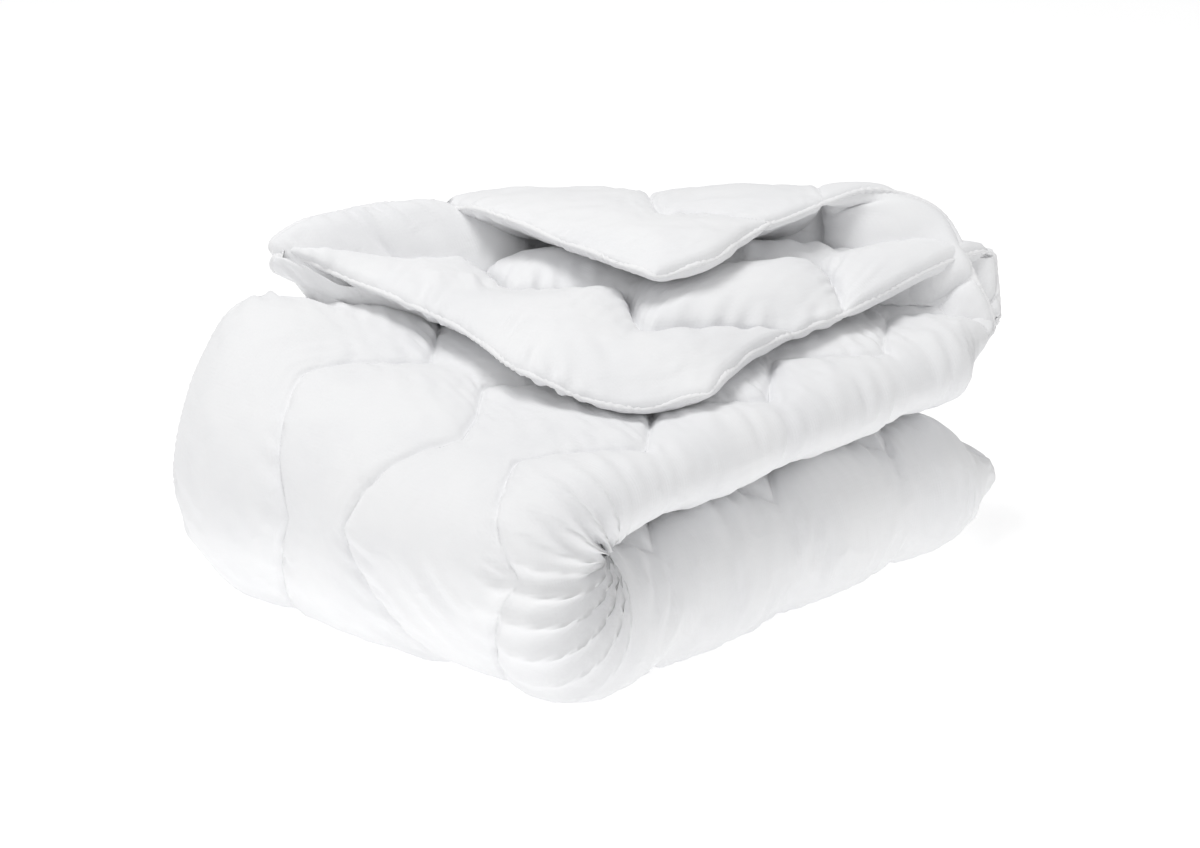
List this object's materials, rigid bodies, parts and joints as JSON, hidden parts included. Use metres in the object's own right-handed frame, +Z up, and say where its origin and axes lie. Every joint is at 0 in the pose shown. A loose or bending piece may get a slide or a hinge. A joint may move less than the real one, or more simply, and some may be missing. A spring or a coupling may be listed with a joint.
{
  "type": "folded duvet",
  "caption": "White quilted duvet with zigzag quilting and a bound edge, folded in half, folded over and with two corners turned down.",
  "frame": {"origin": "centre of the flat face the duvet rests on", "axes": "+Z up; +X along the folded strip to its open end; +Y along the spine to the side hems"},
  "size_m": [1.082, 0.7583, 0.4902],
  "materials": {
    "cotton_face": "fine plain weave, matt",
    "cotton_back": "fine plain weave, matt",
    "edge_binding": "plain weave tape, ruched",
    "wadding": "lofted fibre",
    "thread": "spun thread"
  },
  "bodies": {
    "lower_half": {"back_cloth_lower": "cotton_back", "back_cloth_spine": "cotton_back", "binding_foot_end": "edge_binding", "binding_inner_lower": "edge_binding", "binding_inner_spine": "edge_binding", "binding_outer_lower": "edge_binding", "binding_outer_spine": "edge_binding", "face_cloth_lower": "cotton_face", "face_cloth_spine": "cotton_face", "thread_lower": "thread", "thread_spine": "thread", "wadding_lower": "wadding", "wadding_spine": "wadding"},
    "upper_half": {"back_cloth_second_roll": "cotton_back", "back_cloth_top_roll": "cotton_back", "back_cloth_upper": "cotton_back", "binding_head_end": "edge_binding", "binding_inner_upper": "edge_binding", "binding_outer_upper": "edge_binding", "binding_second_roll": "edge_binding", "binding_top_roll": "edge_binding", "face_cloth_second_roll": "cotton_face", "face_cloth_top_roll": "cotton_face", "face_cloth_upper": "cotton_face", "thread_upper": "thread", "wadding_second_roll": "wadding", "wadding_top_roll": "wadding", "wadding_upper": "wadding"},
    "second_corner": {"back_cloth_second_flap": "cotton_back", "binding_second_flap": "edge_binding", "face_cloth_second_flap": "cotton_face", "thread_second_flap": "thread", "wadding_second_flap": "wadding"},
    "top_corner": {"back_cloth_top_flap": "cotton_back", "binding_top_flap": "edge_binding", "face_cloth_top_flap": "cotton_face", "thread_top_flap": "thread", "wadding_top_flap": "wadding"}
  },
  "joints": [
    {"name": "spine_fold", "type": "hinge", "parent": "lower_half", "child": "upper_half", "pos_m": [-0.41753, 0, 0.1845], "axis": [0, -1, 0], "range_deg": [0, 90], "deforming": ["back_cloth_spine", "binding_inner_spine", "binding_outer_spine", "face_cloth_spine", "thread_spine", "wadding_spine"]},
    {"name": "top_corner_fold", "type": "hinge", "parent": "upper_half", "child": "top_corner", "pos_m": [0, 0.10877, 0.3495], "axis": [-0.7071, 0.7071, 0], "range_deg": [0, 180], "deforming": ["back_cloth_top_roll", "binding_top_roll", "face_cloth_top_roll", "wadding_top_roll", "back_cloth_second_roll", "binding_second_roll", "face_cloth_second_roll", "wadding_second_roll"]},
    {"name": "second_corner_fold", "type": "hinge", "parent": "upper_half", "child": "second_corner", "pos_m": [0, 0.10877, 0.372], "axis": [-0.7071, 0.7071, 0], "range_deg": [0, 180], "deforming": ["back_cloth_second_roll", "binding_second_roll", "face_cloth_second_roll", "wadding_second_roll", "back_cloth_top_roll", "binding_top_roll", "face_cloth_top_roll", "wadding_top_roll"]}
  ],
  "couplings": [
    {"joint": "second_corner_fold", "follows": "top_corner_fold", "ratio": 1}
  ]
}
